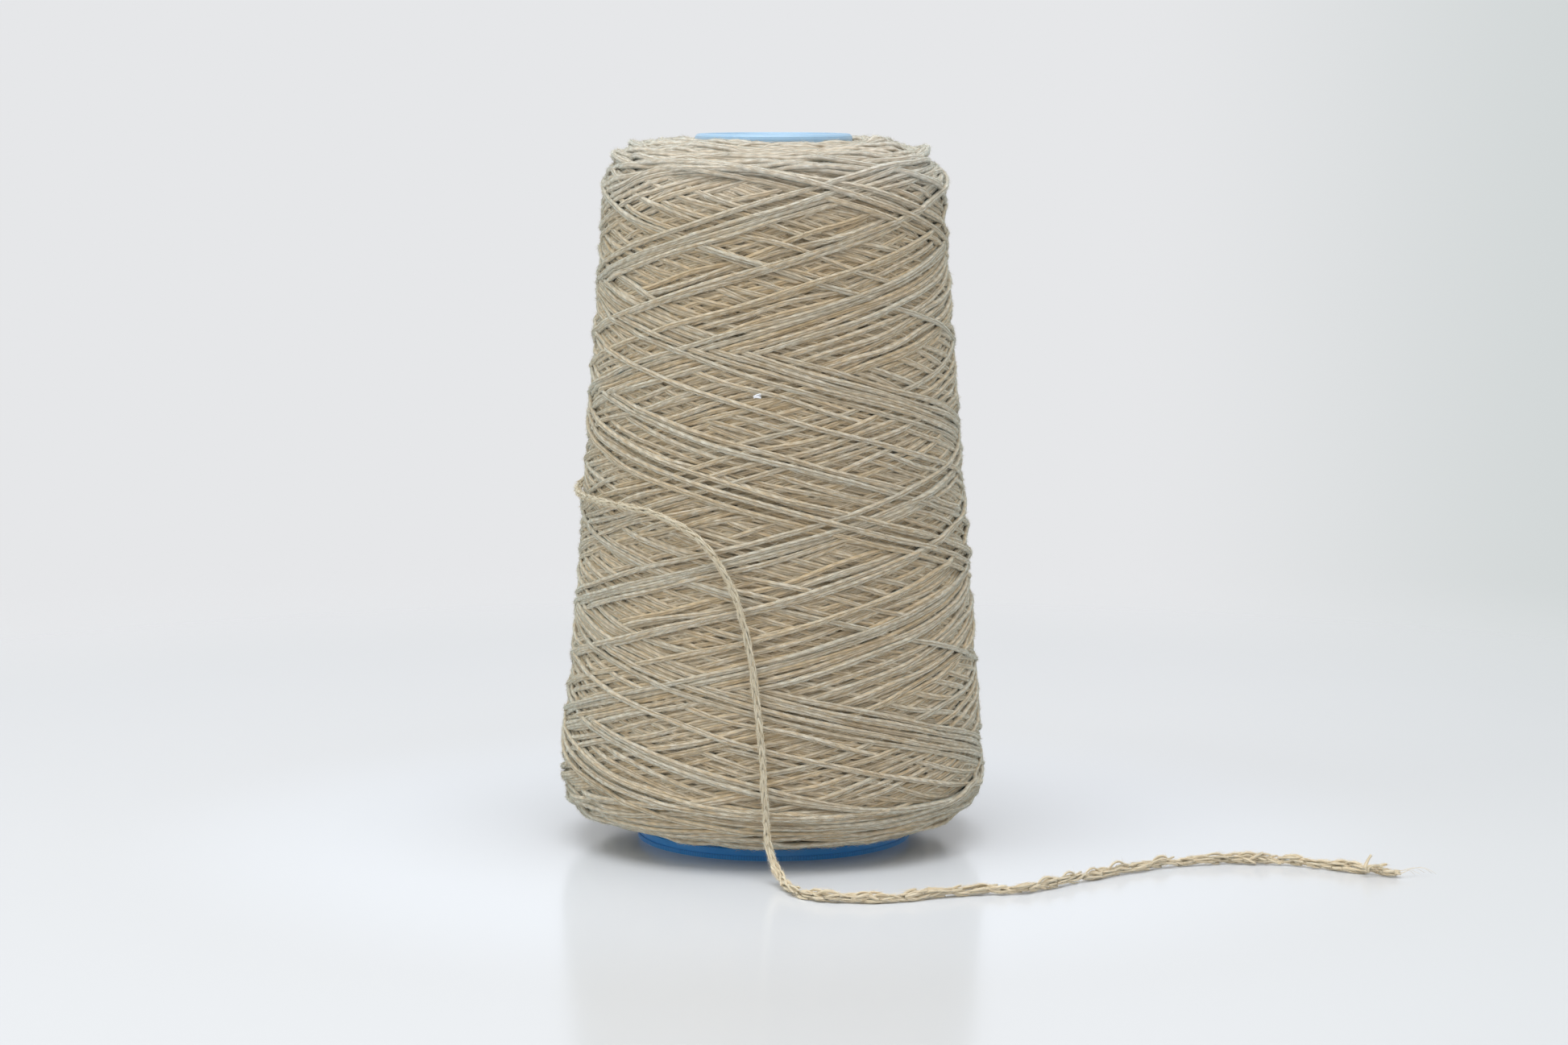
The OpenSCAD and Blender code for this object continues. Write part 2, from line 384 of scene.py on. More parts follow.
def plastic_material(name, low, high, foot_z, nose_z):
    """Moulded plastic: a slightly milky gloss with faint flow lines, fine scuffs and a toothed rim, with
    painted shade towards the foot and along the rim and painted light towards the nose.
    """
    sheet = Sheet(bpy.data.materials.new(name))
    place = sheet.place()
    height = sheet.part(place, "Z")
    turn = sheet.maths("ARCTAN2", sheet.part(place, "Y"), sheet.part(place, "X"))
    teeth = sheet.maths("SINE", turn * 310.0) * 0.5 + 0.5
    rim = 1.0 - sheet.smooth(height, 0.9 * MM, 1.3 * MM)
    rise = sheet.smooth(height, foot_z * MM, nose_z * MM)
    drawn_out = sheet.node("ShaderNodeVectorMath", {"operation": "MULTIPLY"}, [place, (1, 1, 0.12)])
    flow = sheet.noise(drawn_out, 420.0, 3.0, 0.6)
    cloud = sheet.noise(place, 55.0, 2.0, 0.5)
    scuff = sheet.noise(place, 1600.0, 2.0, 0.7)
    # Painted light and shade: the plastic is darker at the foot, in the shade under the winding, and paler
    # towards the nose, where the light from above falls.
    colour = sheet.blend(rise, low, high)
    colour = sheet.blend(sheet.smooth(cloud, 0.35, 0.75) * 0.16, colour, shade(160, 195, 220))
    colour = sheet.blend(sheet.smooth(flow, 0.5, 0.8) * 0.12, colour, shade(25, 80, 150))
    # Painted shade: darker along the toothed bottom edge and between its teeth.
    colour = sheet.blend(rim * 0.12 + teeth * rim * 0.16, colour, shade(16, 52, 104))
    rough = sheet.smooth(scuff, 0.3, 0.8) * 0.16 + (cloud * 0.1 + 0.26)
    relief = flow * 0.5 + scuff * 0.2 - teeth * rim * 2.0
    return sheet.finish(sheet.surface({
        "Base Color": colour, "Roughness": rough, "Normal": sheet.bump(relief, 0.25, 0.1 * MM),
        "Specular IOR Level": 0.5, "Subsurface Weight": 0.15, "Subsurface Radius": (0.6, 1.0, 1.6),
        "Subsurface Scale": 1.2 * MM}))


wound_wool = yarn_material(
    "wound_wool", shade(234, 229, 215), shade(208, 199, 180), shade(140, 121, 94), 0.7, 1.0)
tail_wool = yarn_material(
    "tail_wool", shade(240, 232, 213), shade(229, 215, 187), shade(184, 160, 122), 0.35, 0.4)
# The buried yarn's darker colours are painted shade, for yarn that lies deep under the strands where little
# light reaches.
shaded_packed_wool = yarn_material(
    "shaded_packed_wool", shade(170, 153, 126), shade(148, 130, 104), shade(120, 102, 80), 0.3, 1.0)
loose_wool = fibre_material(
    "loose_wool", shade(230, 225, 210), shade(202, 195, 178), shade(198, 172, 132), shade(146, 131, 108))
white_lint = fibre_material("white_lint", WHITE, WHITE, WHITE, WHITE)
tail_fibre = fibre_material(
    "tail_fibre", shade(240, 232, 214), shade(228, 216, 190), shade(212, 188, 148), shade(188, 168, 134))
# Its foot colour and nose colour are the painted shade and painted light of one blue plastic.
cone_plastic = plastic_material("cone_plastic", shade(66, 160, 238), shade(154, 187, 213), 8, 160)


# ---------------------------------------------------------------- geometry node trees

class Rig:
    """A Geometry Nodes tree with named inputs. Its values are Terms, as a material's are."""

    def __init__(self, name, inputs):
        self.tree = bpy.data.node_groups.new(name, "GeometryNodeTree")
        sockets = self.tree.interface
        sockets.new_socket("Geometry", in_out="INPUT", socket_type="NodeSocketGeometry")
        self.ids = {}
        for label, kind in inputs.items():
            made = sockets.new_socket(label, in_out="INPUT", socket_type="NodeSocket" + kind)
            self.ids[label] = made.identifier
        sockets.new_socket("Geometry", in_out="OUTPUT", socket_type="NodeSocketGeometry")
        self.given = self.tree.nodes.new("NodeGroupInput")

    def input(self, label):
        return Term(self, self.given.outputs[label])

    def filled(self, made, values):
        """Gives a node its sockets' values or links, by name or by number, and returns its outputs."""
        shown = [socket for socket in made.inputs if socket.enabled]
        named = values.items() if isinstance(values, dict) else enumerate(values)
        for name, value in named:
            socket = shown[name] if isinstance(name, int) else next(s for s in shown if s.name == name)
            if isinstance(value, Term):
                self.tree.links.new(value.socket, socket)
            else:
                socket.default_value = value
        return [Term(self, socket) for socket in made.outputs if socket.enabled]

    def outputs(self, kind, settings, values):
        """A node of any kind, its settings first, as the list of its outputs."""
        made = self.tree.nodes.new(kind)
        for name, value in settings.items():
            setattr(made, name, value)
        return self.filled(made, values)

    def node(self, kind, settings, values, out=0):
        made = self.outputs(kind, settings, values)
        return made[out] if isinstance(out, int) else next(term for term in made if term.socket.name == out)

    def captured(self, geometry, fields):
        """The geometry with fields of the given forms kept on it, and then those fields."""
        made = self.tree.nodes.new("GeometryNodeCaptureAttribute")
        values = {"Geometry": geometry}
        for label, (form, value) in fields.items():
            made.capture_items.new(form, label)
            values[label] = value
        return self.filled(made, values)[:len(values)]

    def attribute(self, name, kind):
        return self.node("GeometryNodeInputNamedAttribute", {"data_type": kind}, {"Name": name})

    def store(self, geometry, name, kind, value, domain="POINT"):
        return self.node(
            "GeometryNodeStoreNamedAttribute", {"data_type": kind, "domain": domain},
            {"Geometry": geometry, "Name": name, "Value": value})

    def random(self, kind, low, high, seed):
        return self.node(
            "FunctionNodeRandomValue", {"data_type": kind}, {"Min": low, "Max": high, "Seed": seed})

    def vector(self, operation, first, second):
        return self.node("ShaderNodeVectorMath", {"operation": operation}, [first, second])

    def scaled(self, vector, scale):
        return self.node(
            "ShaderNodeVectorMath", {"operation": "SCALE"}, {"Vector": vector, "Scale": scale})

    def xyz(self, x=0.0, y=0.0, z=0.0):
        return self.node("ShaderNodeCombineXYZ", {}, [x, y, z])

    def parts(self, vector):
        return self.outputs("ShaderNodeSeparateXYZ", {}, [vector])

    def position(self):
        return self.node("GeometryNodeInputPosition", {}, {})

    def facing_line(self, mesh):
        """The mesh's edges as a curve, whose normal is the attribute facing."""
        line = self.node("GeometryNodeMeshToCurve", {}, {"Mesh": mesh})
        return self.node("GeometryNodeSetCurveNormal", {"mode": "FREE"}, {
            "Curve": line, "Normal": self.attribute("facing", "FLOAT_VECTOR")})

    def smoothed(self, geometry):
        return self.node("GeometryNodeSetShadeSmooth", {}, {"Geometry": geometry, "Shade Smooth": True})

    def finish(self, geometry, material):
        real = self.node("GeometryNodeRealizeInstances", {}, {"Geometry": geometry})
        made = self.node("GeometryNodeSetMaterial", {}, {"Geometry": real, "Material": material})
        end = self.tree.nodes.new("NodeGroupOutput")
        self.tree.links.new(made.socket, end.inputs[0])


def placed(name, mesh):
    """An object that shows the mesh, at the origin."""
    piece = bpy.data.objects.new(name, mesh)
    scene.collection.objects.link(piece)
    return piece


def grown(name, start_mesh, rig, values):
    """Runs a tree on a mesh and keeps what it makes as a plain mesh object."""
    seed = placed(name + "_seed", start_mesh)
    modifier = seed.modifiers.new("grow", "NODES")
    modifier.node_group = rig.tree
    for label, value in values.items():
        modifier[rig.ids[label]] = value
    graph = bpy.context.evaluated_depsgraph_get()
    mesh = bpy.data.meshes.new_from_object(seed.evaluated_get(graph))
    bpy.data.objects.remove(seed)
    mesh.name = name
    return placed(name, mesh)


def strand_rig():
    """A tube along each line of the mesh, flattened against what it lies on."""
    rig = Rig("strand_tube", {
        "Half width": "Float", "Half thickness": "Float", "Sides": "Int", "Finish": "Material"})
    line, far, way = rig.captured(rig.facing_line(rig.input("Geometry")), {
        "Length": ("FLOAT", rig.node("GeometryNodeSplineParameter", {}, {}, "Length")),
        "Way": ("VECTOR", rig.node("GeometryNodeInputTangent", {}, {}))})
    ring = rig.node("GeometryNodeCurvePrimitiveCircle", {"mode": "RADIUS"}, {
        "Resolution": rig.input("Sides"), "Radius": 1.0})
    ring, spot = rig.captured(ring, {"Spot": ("VECTOR", rig.position())})
    oval = rig.node("GeometryNodeTransform", {}, {
        "Geometry": ring, "Scale": rig.xyz(rig.input("Half thickness"), rig.input("Half width"), 1.0)})
    tube = rig.node("GeometryNodeCurveToMesh", {}, {
        "Curve": line, "Profile Curve": oval, "Fill Caps": True, "Scale": rig.attribute("girth", "FLOAT")})
    across, side, _ = rig.parts(spot)
    tube = rig.store(tube, "lay", "FLOAT_VECTOR", rig.xyz(across, side, far * (1 / MM)))
    tube = rig.store(tube, "way", "FLOAT_VECTOR", way)
    rig.finish(rig.smoothed(tube), rig.input("Finish"))
    return rig


def fibres_of(rig, share, label, steps, thick, shortest, longest, lie, loose, lift):
    """One kind of loose fibre, on the share of its points that is given.

    After its density's label come its steps, relative thickness and range of length, then how
    strongly it lies along the strand, how much it strays and how far it lifts off.
    """
    points, normal = rig.outputs(
        "GeometryNodeDistributePointsOnFaces", {"distribute_method": "RANDOM"},
        {"Mesh": rig.input("Geometry"), "Density": rig.input(label), "Seed": rig.input("Seed")})[:2]
    surplus = rig.node(
        "FunctionNodeCompare", {"operation": "GREATER_THAN"},
        [rig.random("FLOAT", 0.0, 1.0, 3 + steps), share])
    kept = rig.node(
        "GeometryNodeDeleteGeometry", {"domain": "POINT"}, {"Geometry": points, "Selection": surplus})

    hair = rig.node("GeometryNodeMeshCone", {"fill_type": "NGON"}, {
        "Vertices": 3, "Side Segments": steps, "Fill Segments": 1, "Radius Top": 0.0,
        "Radius Bottom": rig.input("Thickness") * thick, "Depth": 1.0}, "Mesh")
    height = rig.parts(rig.position())[2]
    hair = rig.node("GeometryNodeSetPosition", {}, {
        "Geometry": hair, "Offset": rig.xyz(height * height * 0.5)})

    jitter = rig.random("FLOAT_VECTOR", (-loose, -loose, -loose), (loose, loose, loose), 11 + steps)
    outward = rig.scaled(normal, rig.random("FLOAT", 0.0, lift, 31 + steps))
    onward = rig.random("INT", 0, 1, 37 + steps) * (2 * lie) - lie
    along = rig.scaled(rig.attribute("way", "FLOAT_VECTOR"), onward)
    way = rig.vector("ADD", rig.vector("ADD", outward, jitter), along)
    turn = rig.node("FunctionNodeAlignRotationToVector", {"axis": "Z"}, {"Vector": way})
    roll = rig.node("FunctionNodeAxisAngleToRotation", {}, {
        "Axis": (0.0, 0.0, 1.0), "Angle": rig.random("FLOAT", 0.0, 6.283, 17 + steps)})
    turn = rig.node(
        "FunctionNodeRotateRotation", {"rotation_space": "LOCAL"}, {"Rotation": turn, "Rotate By": roll})
    long = rig.random("FLOAT", shortest * MM, longest * MM, 23 + steps)
    hairs = rig.node("GeometryNodeInstanceOnPoints", {}, {
        "Points": kept, "Instance": hair, "Rotation": turn, "Scale": rig.xyz(MM, MM, long)})
    return rig.store(hairs, "tone", "FLOAT", rig.random("FLOAT", 0.0, 1.0, 41 + steps), "INSTANCE")


def fibre_rig():
    """Loose fibres that stand off the open side of a strand: many short ones, some long and bent."""
    rig = Rig("loose_fibres", {
        "Short a square metre": "Float", "Long a square metre": "Float", "Thickness": "Float",
        "Seed": "Int", "Finish": "Material"})
    outer_side = rig.parts(rig.attribute("lay", "FLOAT_VECTOR"))[0] + 0.35
    share = rig.node(
        "ShaderNodeMath", {"operation": "MULTIPLY", "use_clamp": True},
        [outer_side, rig.attribute("open", "FLOAT")])
    kinds = [
        fibres_of(rig, share, "Short a square metre", 1, 1.0, 0.9, 2.4, 1.0, 0.09, 0.15),
        fibres_of(rig, share, "Long a square metre", 2, 0.4, 0.5, 1.5, 0.4, 0.8, 0.5)]
    both = rig.tree.nodes.new("GeometryNodeJoinGeometry")
    for kind in kinds:
        rig.tree.links.new(kind.socket, both.inputs[0])
    rig.finish(Term(rig, both.outputs[0]), rig.input("Finish"))
    return rig


def chain_rig():
    """Rows of stitches round a tube, laid along a route."""
    rig = Rig("knitted_chain", {
        "Route": "Object", "Rows": "Int", "Columns": "Int", "Row length": "Float",
        "Slack from": "Float", "Finish": "Material"})
    route = rig.node("GeometryNodeObjectInfo", {}, {"Object": rig.input("Route")}, "Geometry")
    line = rig.facing_line(route)

    # The stitches stand on a straight helix first, more unevenly where the tail has gone slack
    row = rig.node("GeometryNodeInputIndex", {}, {}) / rig.input("Columns")
    high = row * rig.input("Row length")
    points = rig.node("GeometryNodePoints", {}, {
        "Count": rig.input("Rows") * rig.input("Columns"), "Position": rig.xyz(z=high)})
    slack = rig.node("ShaderNodeMapRange", {}, {
        "Value": high, "From Min": rig.input("Slack from"), "From Max": rig.input("Slack from") + 0.015})
    wobble = rig.random("FLOAT_VECTOR", (-0.09, -0.09, -0.22), (0.09, 0.09, 0.22), 5)
    spread = rig.random("FLOAT_VECTOR", (-0.08, -0.08, -0.1), (0.08, 0.08, 0.1), 8)
    turn = rig.vector(
        "ADD", rig.xyz(z=row * (2 * math.pi)), rig.scaled(wobble, slack * 1.5 + 1.0))
    size = rig.vector("ADD", rig.scaled(spread, slack * 1.8 + 1.0), (1.0, 1.0, 1.0))
    stitches = rig.node("GeometryNodeInstanceOnPoints", {}, {
        "Points": points, "Instance": rig.input("Geometry"),
        "Rotation": rig.node("FunctionNodeEulerToRotation", {}, {"Euler": turn}), "Scale": size})
    stitches = rig.store(stitches, "tone", "FLOAT", rig.random("FLOAT", 0.0, 1.0, 13), "INSTANCE")
    real = rig.node("GeometryNodeRealizeInstances", {}, {"Geometry": stitches})

    # The straight tube is then bent along the route
    across, aside, far = rig.parts(rig.position())
    swell, middle, way, up = rig.outputs(
        "GeometryNodeSampleCurve", {"mode": "LENGTH", "data_type": "FLOAT", "use_all_curves": True},
        {"Curves": line, "Value": rig.attribute("girth", "FLOAT"), "Length": far})
    real = rig.store(real, "way", "FLOAT_VECTOR", way)
    side = rig.vector("CROSS_PRODUCT", way, up)
    off = rig.vector("ADD", rig.scaled(up, across * swell), rig.scaled(side, aside * swell))
    laid = rig.node("GeometryNodeSetPosition", {}, {
        "Geometry": real, "Position": rig.vector("ADD", middle, off)})
    rig.finish(rig.smoothed(laid), rig.input("Finish"))
    return rig


# ---------------------------------------------------------------- meshes

def along_line(points):
    """The distance of each point along the line that they make."""
    return np.concatenate([[0], np.cumsum(np.linalg.norm(np.diff(points, axis=0), axis=1))])


def keep_on_points(mesh, label, values):
    """Keeps a number or a direction for each point, under a name that materials and trees read."""
    values = np.asarray(values).astype(np.float32)
    form, field = ("FLOAT_VECTOR", "vector") if values.ndim == 2 else ("FLOAT", "value")
    mesh.attributes.new(label, form, "POINT").data.foreach_set(field, values.ravel())


def tube_points(line, radius, sides, up):
    """Vertices, faces, lay and direction of a closed tube along a list of points, in millimetres."""
    line = np.array(line, float)
    radius = np.broadcast_to(np.asarray(radius, float), len(line))
    way = np.gradient(line, axis=0)
    way /= np.linalg.norm(way, axis=1)[:, None]
    first = np.array(up, float) - way * (way @ np.array(up, float))[:, None]
    first /= np.linalg.norm(first, axis=1)[:, None]
    second = np.cross(way, first)
    turn = np.arange(sides) * 2 * np.pi / sides
    ring = np.cos(turn)[None, :, None] * first[:, None] + np.sin(turn)[None, :, None] * second[:, None]
    spots = (line[:, None] + ring * radius[:, None, None]).reshape(-1, 3)
    lay = np.stack([
        np.tile(np.cos(turn), len(line)), np.tile(np.sin(turn), len(line)),
        np.repeat(along_line(line), sides)], 1)
    faces = []
    for i in range(len(line) - 1):
        for k in range(sides):
            a, b = i * sides + k, i * sides + (k + 1) % sides
            faces.append((a, b, b + sides, a + sides))
    last = (len(line) - 1) * sides
    faces.append(tuple(range(sides))[::-1])
    faces.append(tuple(range(last, last + sides)))
    return spots, faces, lay, np.repeat(way, sides, axis=0)


def tube_mesh(name, tubes_given, material=None):
    """One mesh of several tubes: each has a line, a radius, sides, an upward direction and a tone."""
    spots, faces, lay, ways, tone = [], [], [], [], []
    start = 0
    for line, radius, sides, up, its_tone in tubes_given:
        more, its_faces, its_lay, its_way = tube_points(line, radius, sides, up)
        faces += [tuple(v + start for v in face) for face in its_faces]
        start += len(more)
        spots.append(more)
        lay.append(its_lay)
        ways.append(its_way)
        tone.append(np.full(len(more), its_tone))
    mesh = bpy.data.meshes.new(name)
    mesh.from_pydata((np.concatenate(spots) * MM).tolist(), [], faces)
    keep_on_points(mesh, "lay", np.concatenate(lay))
    keep_on_points(mesh, "way", np.concatenate(ways))
    keep_on_points(mesh, "tone", np.concatenate(tone))
    keep_on_points(mesh, "open", np.ones(len(mesh.vertices)))
    for face in mesh.polygons:
        face.use_smooth = True
    if material:
        mesh.materials.append(material)
    return mesh


def turned(name, outline, segments, material):
    """A closed ring of revolution from an outline of (radius, height) points that goes round it."""
    outline = np.array(outline, float) * MM
    turn = np.arange(segments) * 2 * np.pi / segments
    around = np.stack([np.cos(turn), np.sin(turn)], 1)
    flat = outline[:, None, :1] * around[None]
    heights = np.repeat(outline[:, None, 1:], segments, 1)
    points = np.concatenate([flat, heights], 2).reshape(-1, 3)
    count = len(outline)
    faces = []
    for i in range(count):
        for k in range(segments):
            a, b = i * segments + k, i * segments + (k + 1) % segments
            c, d = (i + 1) % count * segments + k, (i + 1) % count * segments + (k + 1) % segments
            faces.append((a, b, d, c))
    mesh = bpy.data.meshes.new(name)
    mesh.from_pydata(points.tolist(), [], faces)
    mesh.materials.append(material)
    for face in mesh.polygons:
        face.use_smooth = True
    mesh.update()
    return placed(name, mesh)


# ---------------------------------------------------------------- the winding

class Skin:
    """The winding's outer surface, by the distance along it and the column round it."""

    STEP = 0.25
    COLUMNS = 720
    # The outline is rounded in so many rounds, by the mean of so many points to either side
    ROUNDS = 3
    EDGE = 9

    def __init__(self, outline):
        points = np.array(outline, float)
        box = np.ones(2 * self.EDGE + 1) / (2 * self.EDGE + 1)
        for _ in range(self.ROUNDS):
            points = self.spaced(points)
            before = 2 * points[:1] - points[self.EDGE:0:-1]
            after = 2 * points[-1:] - points[-2:-self.EDGE - 2:-1]
            padded = np.concatenate([before, points, after])
            points = np.stack([np.convolve(padded[:, k], box, "valid") for k in (0, 1)], 1)
        self.points = self.spaced(points)
        way = np.gradient(self.points, axis=0)
        way /= np.linalg.norm(way, axis=1)[:, None]
        self.normal = np.stack([way[:, 1], -way[:, 0]], 1)
        self.rows = len(self.points)
        self.long = (self.rows - 1) * self.STEP
        self.flank = slice(*(np.argmin(abs(self.points[:, 1] - z)) for z in FLANK))
        # Where the last strokes turn back, near the foot and near the nose
        self.foot_turn = self.far_at_height(14) - 1
        self.nose_turn = self.far_at_height(163)

    def spaced(self, points):
        """Points at even steps along the line."""
        along = along_line(points)
        at = np.arange(0, along[-1], self.STEP)
        return np.stack([np.interp(at, along, points[:, k]) for k in (0, 1)], 1)

    def at(self, values, far):
        return np.interp(far / self.STEP, np.arange(self.rows), values)

    def row_at(self, far):
        return np.clip(np.rint(far / self.STEP).astype(int), 0, self.rows - 1)

    def far_where(self, value, rising_values):
        """How far along the skin its flank reaches a value, of values that rise with the height."""
        return np.interp(value, rising_values[self.flank], np.arange(self.rows)[self.flank] * self.STEP)

    def far_at_height(self, z):
        return self.far_where(z, self.points[:, 1])

    def far_at_row(self, row):
        """How far along the skin its front shows on a row of the picture."""
        away = -EYE.y / MM - self.points[:, 0]
        above = self.points[:, 1] - EYE.z / MM
        depth = away * math.cos(PITCH_DOWN) - above * math.sin(PITCH_DOWN)
        rise = away * math.sin(PITCH_DOWN) + above * math.cos(PITCH_DOWN)
        rows = PICTURE_HIGH / 2 - LENS / SENSOR * PICTURE_WIDE * rise / depth
        return self.far_where(-row, -rows)

    def place(self, degrees, far, off):
        """Points in space, in metres, and the skin's normals there."""
        out = self.at(self.normal[:, 0], far)
        up = self.at(self.normal[:, 1], far)
        radius = self.at(self.points[:, 0], far) + off * out
        height = self.at(self.points[:, 1], far) + off * up
        turn = np.radians(degrees)
        spot = np.stack([radius * np.cos(turn), radius * np.sin(turn), height], 1) * MM
        facing = np.stack([out * np.cos(turn), out * np.sin(turn), up], 1)
        return spot, facing / np.linalg.norm(facing, axis=1)[:, None]


def degrees_of(columns):
    return columns * 360 / Skin.COLUMNS


def turn_from(degrees, middle):
    """How far a turn is from the middle one, from -180 to 180 degrees."""
    return (degrees - middle + 180) % 360 - 180


def ripple(rng, count, step, waves, amount):
    """A smooth random wander, with waves of the given lengths."""
    at = np.arange(count) * step
    total = np.zeros(count)
    for wave in waves:
        total += np.sin(2 * np.pi * (at / (wave * rng.uniform(0.8, 1.25)) + rng.random()))
    return total * amount / math.sqrt(len(waves) / 2)


def averaged(values, half):
    """A running mean over half places to either side."""
    box = np.ones(2 * half + 1) / (2 * half + 1)
    return np.convolve(np.pad(values, half, mode="edge"), box, "valid")


def stroke_path(skin, low, high, rising, turn, far, tuck):
    """Columns and distances of one stroke, from one end of the winding to the other.

    It passes the given turn (degrees) at that distance, and runs on for tuck degrees past either end.
    """
    u = np.linspace(0, np.pi, 1200)
    run = low + (high - low) * (1 - np.cos(u)) / 2
    middle = (run[1:] + run[:-1]) / 2
    ease = np.sqrt(np.minimum(1, (middle - low) / TURN_BACK) * np.minimum(1, (high - middle) / TURN_BACK))
    angle = np.concatenate([[0], np.cumsum(np.diff(run) / (PITCH * ease) * 360)])
    if not rising:
        run = run[::-1]
        angle = angle[-1] - angle[::-1]
    first = angle < tuck
    last = angle > angle[-1] - tuck
    whole_angle = np.concatenate([-angle[first][:0:-1], angle, 2 * angle[-1] - angle[last][-2::-1]])
    whole_run = np.concatenate([run[first][:0:-1], run, run[last][-2::-1]])
    order = np.argsort(run) if not rising else slice(None)
    passing = np.interp(far, run[order], angle[order])
    whole_angle = whole_angle + turn - passing
    per = 360 / skin.COLUMNS
    columns = np.arange(math.ceil(whole_angle[0] / per), math.floor(whole_angle[-1] / per))
    return columns, np.interp(columns * per, whole_angle, whole_run)


def lay_strand(skin, pile, columns, far, girth):
    """Lays one soft strand on the pile, and returns how far its middle stands off the bed."""
    wide, thick = STRAND_WIDE / 2 * girth, STRAND_THICK / 2 * girth
    level = skin.at(skin.points[:, 0], far) * math.radians(360 / skin.COLUMNS)
    steep = level / np.hypot(level, np.gradient(far))

    # The rows that the strand covers in each column, and the height of its back there
    reach = int(wide / skin.STEP) + 2
    rows = skin.row_at(far)[:, None] + np.arange(-reach, reach + 1)
    off_middle = (rows * skin.STEP - far[:, None]) * steep[:, None] / wide
    arch = thick * np.sqrt(np.clip(1 - off_middle ** 2, 0, None))
    covered = (abs(off_middle) < 1) & (rows >= 0) & (rows < skin.rows)
    rows = np.clip(rows, 0, skin.rows - 1)
    column = (columns % skin.COLUMNS)[:, None]
    under = np.where(covered, pile[column, rows], 0).sum(1) / covered.sum(1)
    highest = np.where(covered, pile[column, rows] + arch, -99).max(1)

    # It beds on the mean of what is under it, bridges hollows, and dives in at its ends
    bedded = averaged(under, 9) + thick * SPRINGY
    off = np.maximum(bedded, highest - thick * SQUASHED)
    off = averaged(np.maximum(off, averaged(off, 6)), 2)
    from_end = np.minimum(np.arange(len(off)), np.arange(len(off))[::-1]) * COLUMN_LONG
    off -= END_SUNK * np.clip(1 - from_end / END_LONG, 0, 1) ** 2
    top = np.where(covered, off[:, None] + arch, -99)
    pile[column, rows] = np.maximum(pile[column, rows], top)
    return off


def nestled(skin, pile, columns, far):
    """Moves a strand sideways into the nearest hollow between those below it."""
    column = columns % skin.COLUMNS
    depths = [averaged(pile[column, skin.row_at(far + side)], 14) for side in SIDEWAYS]
    weight = np.exp(-3 * (np.array(depths) - np.min(depths, axis=0)))
    move = (weight * np.array(SIDEWAYS)[:, None]).sum(0) / weight.sum(0)
    return far + averaged(move, 12)


def emptiest(skin, pile, rng, columns, far):
    """The turn, in degrees, at which a stroke would lie on the least yarn."""
    turns = np.arange(0, skin.COLUMNS, 5)
    levels = pile[(columns + turns[:, None]) % skin.COLUMNS, skin.row_at(far)].mean(1)
    return degrees_of(turns[np.argmin(levels + rng.uniform(0, 0.04, len(turns)))])


def softened(field, columns, rows):
    """The field, blurred round the cone and along it."""
    for _ in range(2):
        wrapped = np.concatenate([field[-columns:], field, field[:columns]])
        total = np.cumsum(np.pad(wrapped, ((1, 0), (0, 0))), axis=0)
        field = (total[2 * columns + 1:] - total[:-2 * columns - 1]) / (2 * columns + 1)
        total = np.cumsum(np.pad(field, ((0, 0), (rows + 1, rows)), mode="edge"), axis=1)
        field = (total[:, 2 * rows + 1:] - total[:, :-2 * rows - 1]) / (2 * rows + 1)
    return field


def squeezed(level):
    """Heights, with what lies deep under the surface brought nearer to it."""
    return np.maximum(level, -SHALLOW) + np.minimum(level + SHALLOW, 0) * DEEP


def lay_stroke(skin, pile, rng, path, wander, settles):
    """Lays a stroke with a little wander of its own, and returns its strand."""
    columns, far = path
    far = far + ripple(rng, len(far), WANDER_STEP, WANDER_WAVES, wander)
    if settles:
        far = nestled(skin, pile, columns, far)
    far = np.clip(far, END_MARGIN, skin.long - END_MARGIN)
    girth = rng.uniform(0.93, 1.07)
    off = lay_strand(skin, pile, columns, far, girth)
    return {"columns": columns, "far": far, "off": off, "girth": girth, "tone": rng.random()}


def early_strokes(skin, pile, rng):
    """The strokes under the last ones: short runs of neighbours, each begun where there is least yarn."""
    strands = []
    left = 0
    for k in range(EARLY_STROKES):
        age = k / EARLY_STROKES
        spread = 2 + 3 * (1 - age)
        low = FIRST_MARGIN + (skin.foot_turn - FIRST_MARGIN) * age + rng.uniform(-spread, spread)
        top = skin.long - FIRST_MARGIN
        high = top - (top - skin.nose_turn) * age + rng.uniform(-spread, spread)
        low, high = max(low, LEAST_MARGIN), min(high, skin.long - LEAST_MARGIN)
        if left == 0:
            left = rng.integers(1, 4)
            rising = rng.random() < 0.5
            turn = emptiest(
                skin, pile, rng, *stroke_path(skin, low, high, rising, 0, skin.long / 2, 0))
        else:
            turn += rng.uniform(*STROKE_GAP) / PITCH * 360
        left -= 1
        path = stroke_path(skin, low, high, rising, turn, skin.long / 2, TUCK)
        strands.append(lay_stroke(skin, pile, rng, path, EARLY_WANDER, True))
    return strands


def last_strokes(skin, pile, rng):
    """The strokes on top, each through its place on the front."""
    strands = []
    for way, row in LAST_STROKES:
        low = skin.foot_turn + rng.uniform(-5, 2.5)
        high = skin.nose_turn + rng.uniform(-2.5, 5)
        path = stroke_path(skin, low, high, way == "rise", FRONT, skin.far_at_row(row), TUCK)
        strands.append(lay_stroke(skin, pile, rng, path, LAST_WANDER, False))
    return strands


